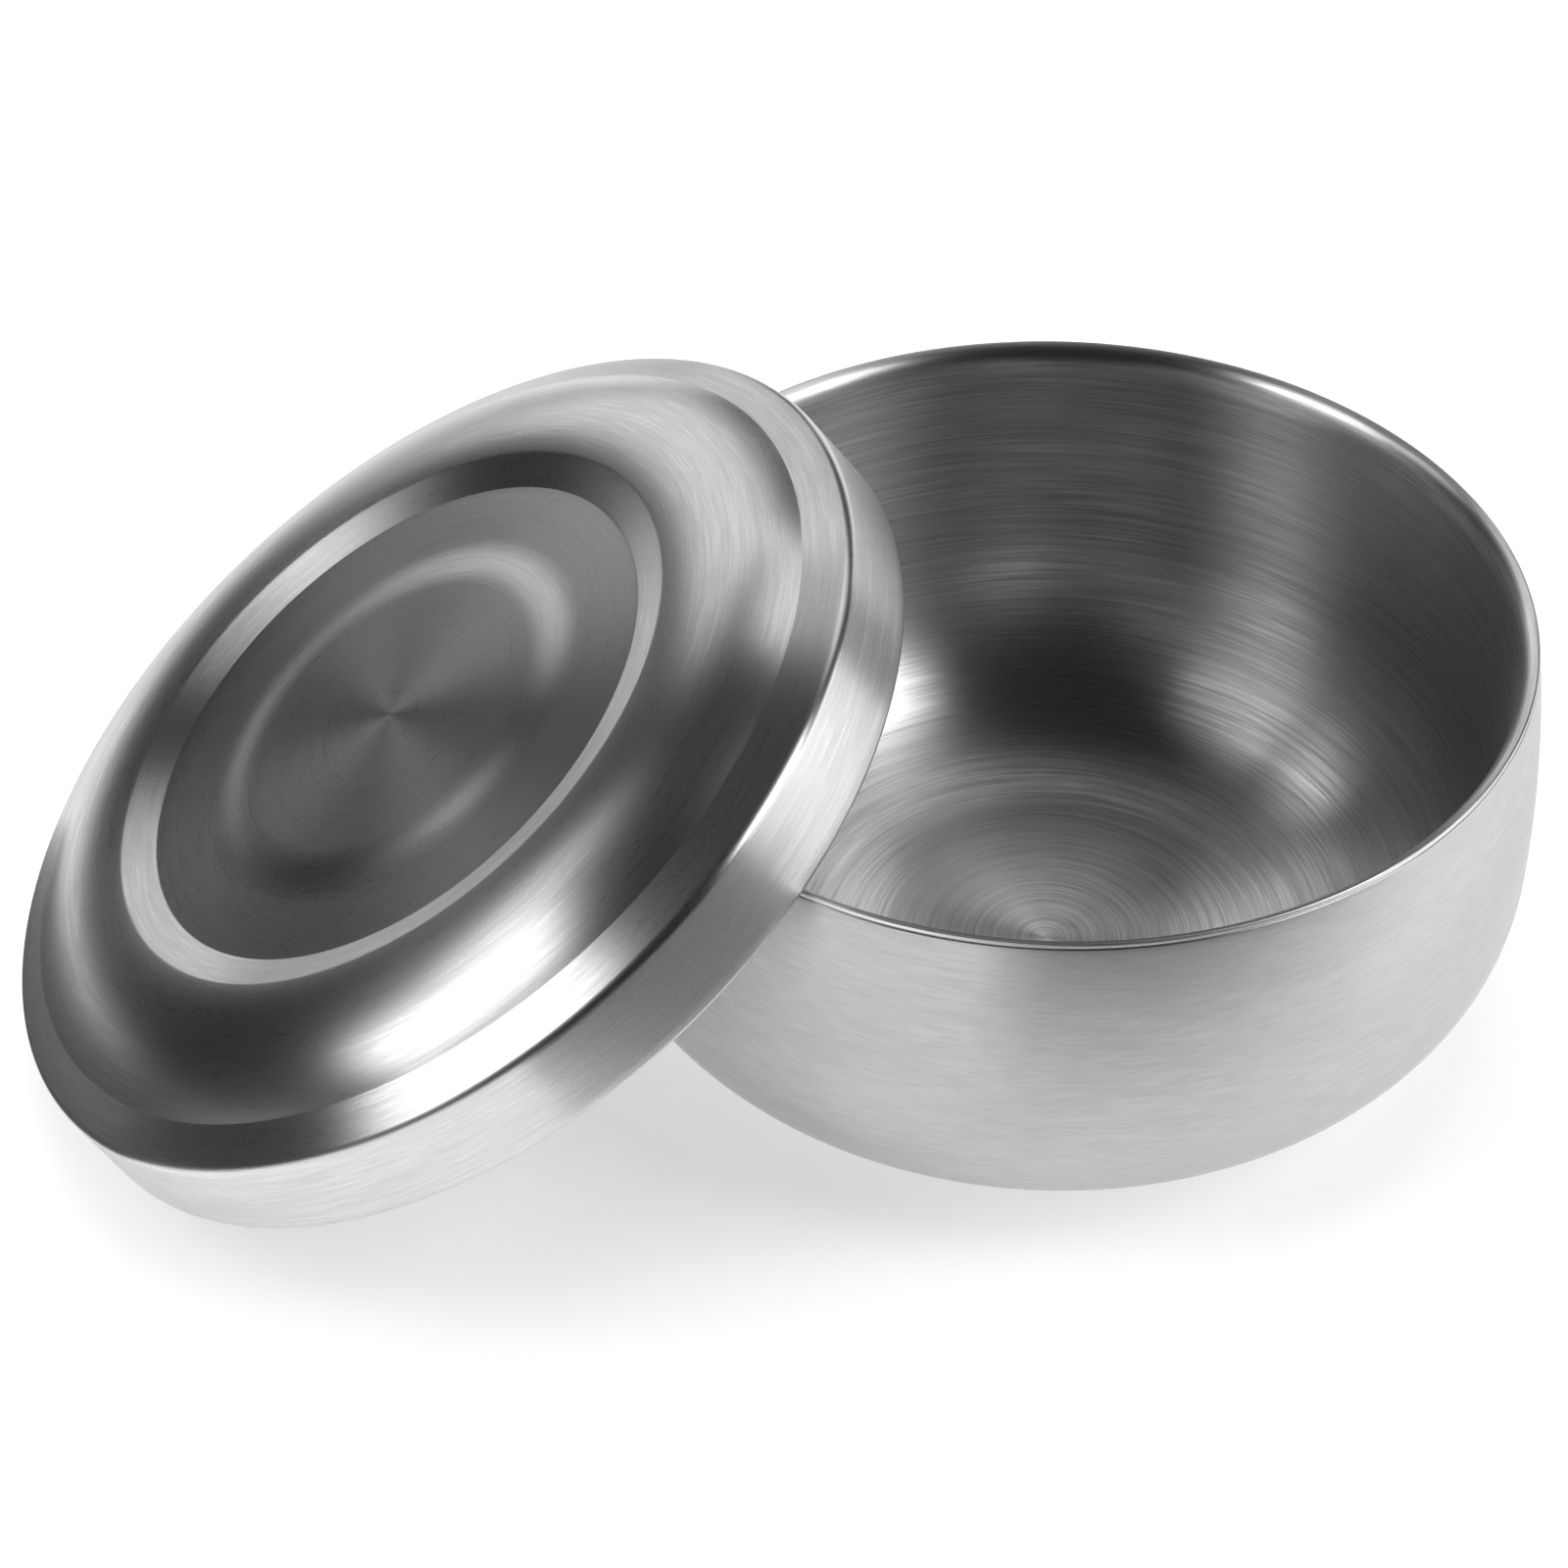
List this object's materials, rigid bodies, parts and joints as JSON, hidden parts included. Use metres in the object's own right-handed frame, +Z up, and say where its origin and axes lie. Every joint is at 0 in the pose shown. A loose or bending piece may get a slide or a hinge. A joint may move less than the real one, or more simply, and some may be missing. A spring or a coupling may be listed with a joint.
{
  "type": "shaving bowl",
  "caption": "Low round double-walled steel bowl with a sloped rim lip, and a domed steel lid with a shallow round recess leaning on the rim.",
  "frame": {"origin": "centre of the bowl's flat base, on the surface that it stands on", "axes": "+Z up along the bowl's axis; the lid leans on the -X side, so X is the longest extent and the XZ plane is a mirror plane"},
  "size_m": [0.1709, 0.112, 0.0684],
  "materials": {
    "bowl_outside": "satin, brushed round the bowl",
    "bowl_inside": "brushed in fine rings",
    "lid_outside": "brushed in fine rings, brighter on the skirt",
    "lid_inside": "plain satin"
  },
  "bodies": {
    "bowl": {"bowl_outer_shell": "bowl_outside", "bowl_inner_liner": "bowl_inside"},
    "lid": {"lid_outer_skin": "lid_outside", "lid_inner_skin": "lid_inside"}
  },
  "joints": [
    {"name": "lid_lift", "type": "slide", "parent": "bowl", "child": "lid", "axis": [0, 0, 1], "range_m": [0, 0.08]}
  ]
}
